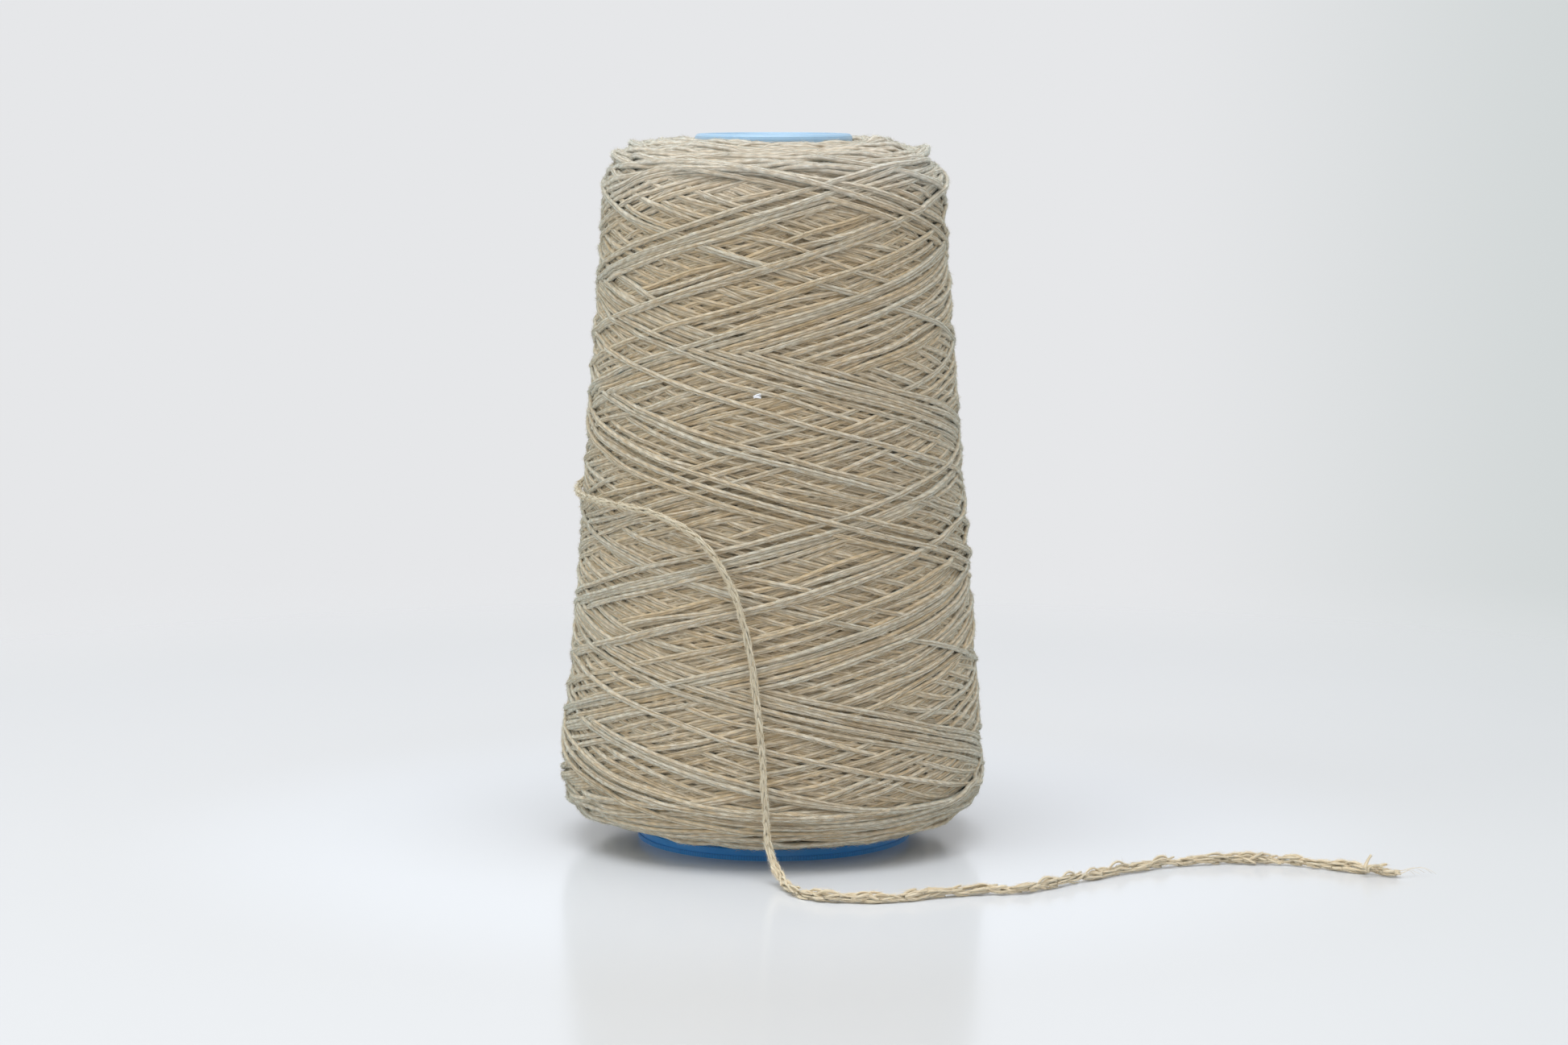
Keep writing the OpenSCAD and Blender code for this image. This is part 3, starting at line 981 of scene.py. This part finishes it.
def tail_stroke(skin, pile):
    """The very last stroke, which comes round the back and goes over into the tail."""
    place = skin.far_at_height(TAIL_ROUTE[0][2])
    columns, far = stroke_path(skin, skin.foot_turn, skin.nose_turn, False, EXIT_TURN, place, 0)
    behind = (degrees_of(columns) > EXIT_TURN - EXIT_SWEEP) & (degrees_of(columns) <= EXIT_TURN)
    columns, far = columns[behind], far[behind]
    off = lay_strand(skin, pile, columns, far, 1.0)
    off[-LEVEL_COLUMNS:] = off[-LEVEL_COLUMNS - 1]
    return {"columns": columns, "far": far, "off": off, "girth": 1.0, "tone": 0.5, "end": TAIL_ROUTE[0]}


def nose_dip(skin, columns, far):
    """The hollow in the front of the winding's upper edge, where the plastic shows."""
    from_front = turn_from(degrees_of(columns), FRONT)
    return 0.7 * np.exp(-((from_front - 3) / 17) ** 2) * np.clip((far / skin.long - 0.9) / 0.03, 0, 1)


def settled_level(skin, pile):
    """The height of the pile that comes to lie in the skin, over the whole winding."""
    columns, far = np.arange(skin.COLUMNS)[:, None], np.arange(skin.rows) * skin.STEP
    level = softened(pile, 6, 9) + PROUD + nose_dip(skin, columns, far)
    for turn, spread, middle, long, rise in MOUNDS:
        aside = turn_from(degrees_of(columns), turn) / spread
        along = (far - middle * skin.long) / long
        level -= rise * np.exp(-aside ** 2 - along ** 2)
    return level


def wind(skin):
    """Winds the cone stroke by stroke, and returns the strands and the finished surface."""
    rng = np.random.default_rng(41)
    pile = np.zeros((skin.COLUMNS, skin.rows))
    strands = early_strokes(skin, pile, rng)
    strands += last_strokes(skin, pile, rng)
    strands.append(tail_stroke(skin, pile))
    level = settled_level(skin, pile)
    for strand in strands:
        under = averaged(level[strand["columns"] % skin.COLUMNS, skin.row_at(strand["far"])], 2)
        crest = STRAND_THICK / 2 * strand["girth"]
        strand["off"] = squeezed(strand["off"] + crest - under) - crest
    return strands, squeezed(pile - level)


def showing(skin, pile, strand):
    """Which parts of a strand show from outside, with a little more at either side."""
    wide = STRAND_WIDE / 2 * strand["girth"]
    thick = STRAND_THICK / 2 * strand["girth"]
    column = strand["columns"] % skin.COLUMNS
    seen = np.zeros(len(column), bool)
    for side in (-0.8, -0.4, 0.0, 0.4, 0.8):
        crest = strand["off"] + thick * math.sqrt(1 - side * side)
        seen |= pile[column, skin.row_at(strand["far"] + side * wide)] <= crest + 0.3
    return np.convolve(seen, np.ones(25), "same") > 0


def strand_mesh(name, skin, strands, shown):
    """The strands' middle lines as chains of edges, with what the tube needs to know."""
    rng = np.random.default_rng(len(strands))
    spots, facing, edges, girth, tone, bare = [], [], [], [], [], []
    count = 0
    for strand, seen in zip(strands, shown):
        runs = np.flatnonzero(np.diff(np.concatenate([[0], seen.astype(int), [0]])))
        for first, last in zip(runs[::2], runs[1::2]):
            picked = np.arange(first, last, COLUMNS_A_POINT)
            if len(picked) < 3:
                continue
            order = np.arange(len(picked))
            spot, normal = skin.place(
                degrees_of(strand["columns"][picked]), strand["far"][picked], strand["off"][picked])
            if "end" in strand and last == len(seen):
                lead = np.clip(1 - order[::-1] / LEAD_POINTS, 0, 1)[:, None]
                spot += (np.array(strand["end"]) * MM - spot[-1]) * lead ** 2
            spots.append(spot)
            facing.append(normal)
            uneven = averaged(rng.uniform(-0.16, 0.16, len(picked)), 1)
            girth.append(strand["girth"] * (1 + uneven))
            tone.append(np.full(len(picked), strand["tone"]))
            # Near the surface a strand is open: loose fibres grow there, and painted shade darkens what
            # lies deeper.
            bare.append(np.clip((strand["off"][picked] + 1.3) / 0.8, 0, 1))
            edges.append(np.stack([order[:-1], order[1:]], 1) + count)
            count += len(picked)
    mesh = bpy.data.meshes.new(name)
    mesh.vertices.add(count)
    mesh.vertices.foreach_set("co", np.concatenate(spots).astype(np.float32).ravel())
    links = np.concatenate(edges)
    mesh.edges.add(len(links))
    mesh.edges.foreach_set("vertices", links.astype(np.int32).ravel())
    keep_on_points(mesh, "facing", np.concatenate(facing))
    keep_on_points(mesh, "girth", np.concatenate(girth))
    keep_on_points(mesh, "tone", np.concatenate(tone))
    keep_on_points(mesh, "open", np.concatenate(bare))
    mesh.update()
    return mesh


def wound_turns(skin):
    """The wound strands, as far as they show, dealt out to pieces of much the same size."""
    strands, surface = wind(skin)
    shown = [showing(skin, surface, strand) for strand in strands]
    tubes = strand_rig()
    pieces = []
    for first in range(BUNDLES):
        mesh = strand_mesh(f"turns_{first + 1}", skin, strands[first::BUNDLES], shown[first::BUNDLES])
        pieces.append(grown(f"wound_turns_{first + 1}", mesh, tubes, {
            "Half width": STRAND_WIDE / 2 * MM, "Half thickness": STRAND_THICK / 2 * MM,
            "Sides": STRAND_SIDES, "Finish": wound_wool}))
    return pieces


def wall_radius(z):
    return NOSE_RADIUS + (CONE_HEIGHT - z) * TAPER


def packed_outline(skin):
    """The buried yarn's outline: a little under the skin, and just clear of the cone's wall."""
    low, high, gap = 6.0, 163.0, 0.3
    rows = np.arange(0, skin.rows, 8)
    deep = np.interp(rows * skin.STEP / skin.long, [0, 0.03, 0.97, 1], [0.5, 2.3, 2.3, 0.5])
    under_skin = skin.points[rows] - deep[:, None] * skin.normal[rows]
    clear = [(radius, z) for radius, z in under_skin if radius > wall_radius(z) + gap + 0.1]
    return [(wall_radius(low) + gap, low)] + clear + [(wall_radius(high) + gap, high)]


def lint_fleck(skin):
    """A fleck of white lint on the front: short wavy threads, one over the other."""
    turn, height, off = FRONT - 4.6, 110.6, 0.9
    spot, facing = skin.place(np.array([turn]), np.array([skin.far_at_height(height)]), np.array([off]))
    threads = []
    for k in range(6):
        start = spot[0] / MM + np.array((-0.9, 0, 0.1)) + facing[0] * 0.1 * (k % 2)
        line = [
            start + np.array((1.8 * u, 0, 0.14 * (k - 2.5) + 0.25 * math.sin(3 * u + k)))
            for u in np.linspace(0, 1, 6)]
        threads.append((line, 0.16 * np.sin(np.linspace(0.4, 2.7, 6)), 5, (0, -1, 0), 0.5))
    return placed("white_lint", tube_mesh("white_lint", threads, white_lint))


skin = Skin(OUTLINE)
fibres = fibre_rig()
winding = wound_turns(skin)
# The buried yarn under the strands, in colours darkened as painted shade.
packed = turned("packed_yarn", packed_outline(skin), 180, shaded_packed_wool)
fuzz = [
    grown(f"loose_fibres_{number}", piece.data.copy(), fibres, {
        **WOUND_FUZZ, "Seed": number, "Finish": loose_wool})
    for number, piece in enumerate(winding, 1)]
fleck = lint_fleck(skin)

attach(packed, "root")
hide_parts("inner_winding")
for piece in winding + fuzz + [fleck]:
    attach(piece, "root")
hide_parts("outer_turns")

# ---------------------------------------------------------------- the tail

# The tail counts as landed on the floor where it comes below this height
LANDED_BELOW = 4
# Where the slack chain is pinched, by the distance to the right of the cone's axis
PINCHES = (60, 70, 82, 89, 92, 116.7, 128.7)
# Arches of slack ply: the place to the right of the axis, the length and the height
ARCHES = (
    (47.5, 4.5, 1.0), (62.3, 5.2, 1.5), (67.7, 4.6, 1.6), (73, 4.2, 1.3), (79.5, 4.8, 1.8),
    (90.6, 4.6, 1.5), (104, 5, 1.2), (111, 5.5, 1.3), (122, 5, 1.1), (134, 4, 1.0))
SMALL_ARCHES = 34
WISPS = 5


def smooth_route(points, steps):
    """A curve through the points, as a list of points with so many steps to each stretch."""
    points = np.array(points, float)
    made = []
    for i in range(len(points) - 1):
        a, b = points[max(i - 1, 0)], points[i]
        c, d = points[i + 1], points[min(i + 2, len(points) - 1)]
        for u in np.arange(steps) / steps:
            made.append((2 * b + (c - a) * u + (2 * a - 5 * b + 4 * c - d) * u * u
                         + (3 * b - a - 3 * c + d) * u ** 3) / 2)
    made.append(points[-1])
    return np.array(made)


tail_line = smooth_route(TAIL_ROUTE, 8)
tail_far = along_line(tail_line)
landed = tail_far[int(np.argmax(tail_line[:, 2] < LANDED_BELOW))]
tail_rng = np.random.default_rng(7)


def far_at(x):
    """How far along the tail it passes a place to the right of the cone."""
    return tail_far[int(np.argmin(abs(tail_line[:, 0] - x) + 99 * (tail_far < landed)))]


def tail_spot(far):
    """The point of the tail's middle line at a distance along it, and its direction there."""
    spot = np.array([np.interp(far, tail_far, tail_line[:, k]) for k in range(3)])
    ahead = np.array([np.interp(far + 1, tail_far, tail_line[:, k]) for k in range(3)])
    way = ahead - spot
    return spot, way / max(np.linalg.norm(way), 1e-6)


def tail_swell():
    """The chain's girth along the tail, as a share of its stitches' own size.

    It is drawn tight on the winding, and slack, with pinches, on the floor. Its start is thin.
    """
    slack = np.clip((tail_far - landed + 12) / 18, 0, 1)
    swell = 0.76 + slack * (ripple(tail_rng, len(tail_far), 1.0, (5, 8.5, 14), 0.12) + 0.18)
    for x in PINCHES:
        swell -= 0.2 * np.exp(-((tail_far - far_at(x)) / 1.3) ** 2)
    return swell * np.clip(0.35 + tail_far / 8, 0, 1)


def tail_facing():
    """Which way the chain's upper side faces: away from the cone on the winding, up on the floor."""
    outward = tail_line[:, :2] / np.linalg.norm(tail_line[:, :2], axis=1)[:, None]
    on_cone = np.clip((tail_line[:, 2] - 1.2) / 8, 0, 1)[:, None]
    facing = np.concatenate([outward * on_cone, 1 - on_cone + 0.05], 1)
    return facing / np.linalg.norm(facing, axis=1)[:, None]


def stitch():
    """One stitch of the chain: two plies that rise from the middle of a column to its sides."""
    share = np.linspace(0, 1, 8)
    plies = []
    for hand in (-1, 1):
        turn = hand * np.radians(5 + 60 * share ** 0.85)
        out = STITCH_RADIUS * (0.78 + 0.36 * np.sin(np.pi * (0.08 + 0.8 * share)))
        line = np.stack([out * np.cos(turn), out * np.sin(turn), STITCH_LONG * 1.42 * share], 1)
        girth = PLY_RADIUS * (0.72 + 0.34 * np.sin(np.pi * share))
        plies.append((line, girth, 6, (1, 0, 0), 0.5))
    return tube_mesh("stitch", plies)


def tail_chain():
    """The knitted chain, from the winding to its end."""
    mesh = bpy.data.meshes.new("tail_route")
    mesh.from_pydata((tail_line * MM).tolist(), [(i, i + 1) for i in range(len(tail_line) - 1)], [])
    keep_on_points(mesh, "facing", tail_facing())
    keep_on_points(mesh, "girth", tail_swell())
    route = placed("tail_route", mesh)
    chain = grown("tail_strand", stitch(), chain_rig(), {
        "Route": route, "Rows": int((tail_far[-1] - STITCH_LONG * 0.5) / STITCH_LONG),
        "Columns": STITCHES_ROUND, "Row length": STITCH_LONG * MM, "Slack from": (landed - 4) * MM,
        "Finish": tail_wool})
    bpy.data.objects.remove(route)
    return chain


def slack_loop(far, long, high, lean):
    """A ply that stands off the chain in an arch, where the chain has gone slack."""
    line = []
    for u in np.linspace(0, 1, 10):
        spot, way = tail_spot(far + long * (u - 0.5) * (1 + 0.25 * math.sin(math.pi * u)))
        side = np.cross(way, (0, 0, 1))
        rise = math.sin(math.pi * u) ** 0.8
        line.append(spot + np.array((0, 0, 0.3 + high * rise)) + side * lean * (0.6 + 0.4 * rise))
    return line, tail_rng.uniform(0.24, 0.32), 6, (0, 0.6, 1), tail_rng.random()


def tail_end_plies():
    """What the tail ends in: a raised stub, a round loop beside it and four frayed plies."""
    end, way = tail_spot(tail_far[-1] - 1)
    stub = [end + np.array((-6.3 + 1.8 * u ** 1.3, 1.6 * u, 0.7 + 3.0 * u)) for u in np.linspace(0, 1, 7)]
    loop = [
        end + np.array((-3.6 + 1.8 * math.cos(t), 0.3 * math.cos(t), 0.4 + 1.2 * math.sin(t)))
        for t in np.linspace(-0.5, 3.6, 12)]
    plies = [(stub, np.linspace(0.5, 0.28, 7), 7, (1, 0, 0), 0.4), (loop, 0.26, 6, (0, 1, 0), 0.7)]
    for spread in (-0.5, -0.15, 0.2, 0.55):
        frayed = [
            end + way * (3.2 * u - 1) + np.array((0, spread * u * 1.3, spread * u * 0.6 + 0.1))
            for u in np.linspace(0, 1, 6)]
        plies.append((frayed, np.linspace(0.34, 0.14, 6), 6, (0, 0, 1), 0.5 + spread / 2))
    return plies


def slack_plies():
    """The arches along the tail, some at set places and small ones anywhere, and its end."""
    plies = [slack_loop(far_at(x), long, high, 0.2) for x, long, high in ARCHES]
    for _ in range(SMALL_ARCHES):
        far = tail_rng.uniform(landed + 2, tail_far[-1] - 5)
        long, high = tail_rng.uniform(3, 6), tail_rng.uniform(0.5, 1.1)
        plies.append(slack_loop(far, long, high, tail_rng.uniform(-0.9, 0.9)))
    return placed("tail_loops", tube_mesh("tail_loops", plies + tail_end_plies(), tail_wool))


def end_wisps():
    """Long single fibres that run out from the tail's end, close over the floor."""
    end, way = tail_spot(tail_far[-1] - 1)
    start = end + way * 1.2
    wisps = []
    for k in range(WISPS):
        reach = tail_rng.uniform(0.5, 1.0) if k else 1.0
        bend = tail_rng.uniform(-1.2, 1.2)
        line = []
        for u in np.linspace(0, 1, 16):
            aside = (1.5 + bend) * u + 0.9 * math.sin(5 * u + k)
            lift = 2.3 * math.sin(2.4 * u) ** 2 * (1 - u * 0.3) * reach + 0.2 * math.sin(9 * u + k)
            line.append(start + np.array((9.2 * reach * u, aside, max(0.03, lift) - start[2] * u)))
        wisps.append((line, 0.035, 3, (0, 0, 1), tail_rng.random()))
    return placed("tail_wisps", tube_mesh("tail_wisps", wisps, tail_fibre))


def rest_on_floor(piece, soft):
    """Raises what would sink into the floor, more and more gently below the height soft."""
    spots = np.empty(len(piece.data.vertices) * 3, np.float32)
    piece.data.vertices.foreach_get("co", spots)
    height = spots[2::3]
    low = height < soft
    height[low] = soft * np.exp(height[low] / soft - 1)
    piece.data.vertices.foreach_set("co", spots)
    piece.data.update()


tail = tail_chain()
tail_fuzz = grown("tail_fibres", tail.data.copy(), fibres, {
    **TAIL_FUZZ, "Seed": 77, "Finish": tail_fibre})
tail_loops = slack_plies()
tail_wisps = end_wisps()
loops_fuzz = grown("tail_loop_fibres", tail_loops.data.copy(), fibres, {
    **LOOP_FUZZ, "Seed": 78, "Finish": tail_fibre})
extras = [tail_fuzz, tail_loops, tail_wisps, loops_fuzz]
for piece in [tail] + extras:
    rest_on_floor(piece, 0.4 * MM)
    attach(piece, "root")
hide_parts("yarn_tail")

frame["nodes"]["cone_core"].data.materials.clear()
frame["nodes"]["cone_core"].data.materials.append(cone_plastic)

# ---------------------------------------------------------------- stage and lights

# In metres: the floor's radius, and the shares of it between which it fades out
FLOOR_RADIUS = 1.0
FLOOR_FADES = (0.25, 0.56)
FLOOR_SIDES = 128
# The wall gets a little darker and greener to the right, as painted shade where less light falls: the
# sideways parts of a view's direction between which it does
DIM_FROM = 0.085
DIM_TO = 0.225


def studio_camera():
    lens = bpy.data.cameras.new("studio_camera")
    lens.lens = LENS
    lens.sensor_width = SENSOR
    lens.clip_start = 0.05
    camera = placed("studio_camera", lens)
    camera.location = EYE
    camera.rotation_euler = (math.pi / 2 - PITCH_DOWN, 0, 0)
    scene.camera = camera


def floor_material():
    """Pale, faintly glossy card, fading out far from the cone, with painted light and shade: lighter and
    bluer close round the cone, over its shadow, a little darker in a wide ring, and lighter again beyond.
    """
    sheet = Sheet(bpy.data.materials.new("studio_floor"))
    from_middle = sheet.node("ShaderNodeVectorMath", {"operation": "LENGTH"}, [sheet.place()], "Value")
    # Painted light lifts the shadow close round the cone, painted shade darkens a wide ring, and painted
    # light brightens the card beyond it.
    tint = sheet.blend(sheet.smooth(from_middle, 0.09, 0.17), shade(221, 225, 231), shade(213, 215, 218))
    tint = sheet.blend(sheet.smooth(from_middle, 0.3, 0.5), tint, shade(227, 228, 230))
    card = sheet.surface({"Base Color": tint, "Roughness": 0.17, "Specular IOR Level": 0.3})
    clear = sheet.node("ShaderNodeBsdfTransparent", {}, {}, "BSDF")
    fade = sheet.smooth(from_middle, *(FLOOR_RADIUS * share for share in FLOOR_FADES))
    return sheet.finish(sheet.node("ShaderNodeMixShader", {}, [fade, card, clear], "Shader"))


def studio_floor():
    turn = np.arange(FLOOR_SIDES) * 2 * np.pi / FLOOR_SIDES
    rim = [(FLOOR_RADIUS * math.cos(a), FLOOR_RADIUS * math.sin(a), 0) for a in turn]
    mesh = bpy.data.meshes.new("studio_floor")
    mesh.from_pydata(rim, [], [tuple(range(FLOOR_SIDES))])
    mesh.materials.append(floor_material())
    return placed("studio_floor", mesh)


def lamp(name, width, depth, power, colour, place, aim, mirrored):
    """A soft box that shines from its place to its aim, and shows in gloss or doesn't."""
    light = bpy.data.lights.new(name, "AREA")
    light.shape = "RECTANGLE"
    light.size, light.size_y = width, depth
    light.energy = power
    light.color = colour
    made = placed(name, light)
    made.location = place
    made.rotation_euler = (Vector(aim) - Vector(place)).to_track_quat("-Z", "Y").to_euler()
    made.visible_glossy = mirrored


def studio_air():
    """The world: a wall to the camera and in gloss, with painted shade towards its right, and soft even
    light to everything else.
    """
    sheet = Sheet(bpy.data.worlds.new("studio_air"))
    direction = sheet.node("ShaderNodeTexCoord", {}, {}, "Generated")
    # Painted shade: the wall darker and greener to the right.
    dimming = sheet.smooth(sheet.part(direction, "X"), DIM_FROM, DIM_TO)
    wall = sheet.node("ShaderNodeBackground", {}, {
        "Color": sheet.blend(dimming, shade(230, 231, 233), shade(210, 215, 215))})
    soft = sheet.node("ShaderNodeBackground", {}, {"Color": (0.97, 0.985, 1.0), "Strength": 0.58})
    seen, mirrored = (
        sheet.node("ShaderNodeLightPath", {}, {}, ray) for ray in ("Is Camera Ray", "Is Glossy Ray"))
    chosen = sheet.node("ShaderNodeMixShader", {}, [sheet.maths("MAXIMUM", seen, mirrored), soft, wall])
    return sheet.finish(chosen, "ShaderNodeOutputWorld")


studio_camera()
stage = studio_floor()
lamp("softbox_top", 1.2, 1.0, 12.5, (1.0, 1.0, 1.0), (-0.05, -0.3, 1.22), (0, 0, 0.05), True)
lamp("softbox_left", 0.7, 0.9, 3.1, (0.93, 1.0, 0.96), (-1.1, -0.5, 0.55), (0, 0, 0.09), False)
lamp("softbox_right", 0.7, 0.9, 0.6, (0.93, 1.0, 0.96), (1.1, -0.5, 0.55), (0, 0, 0.09), False)
scene.world = studio_air()

bpy.context.view_layer.update()
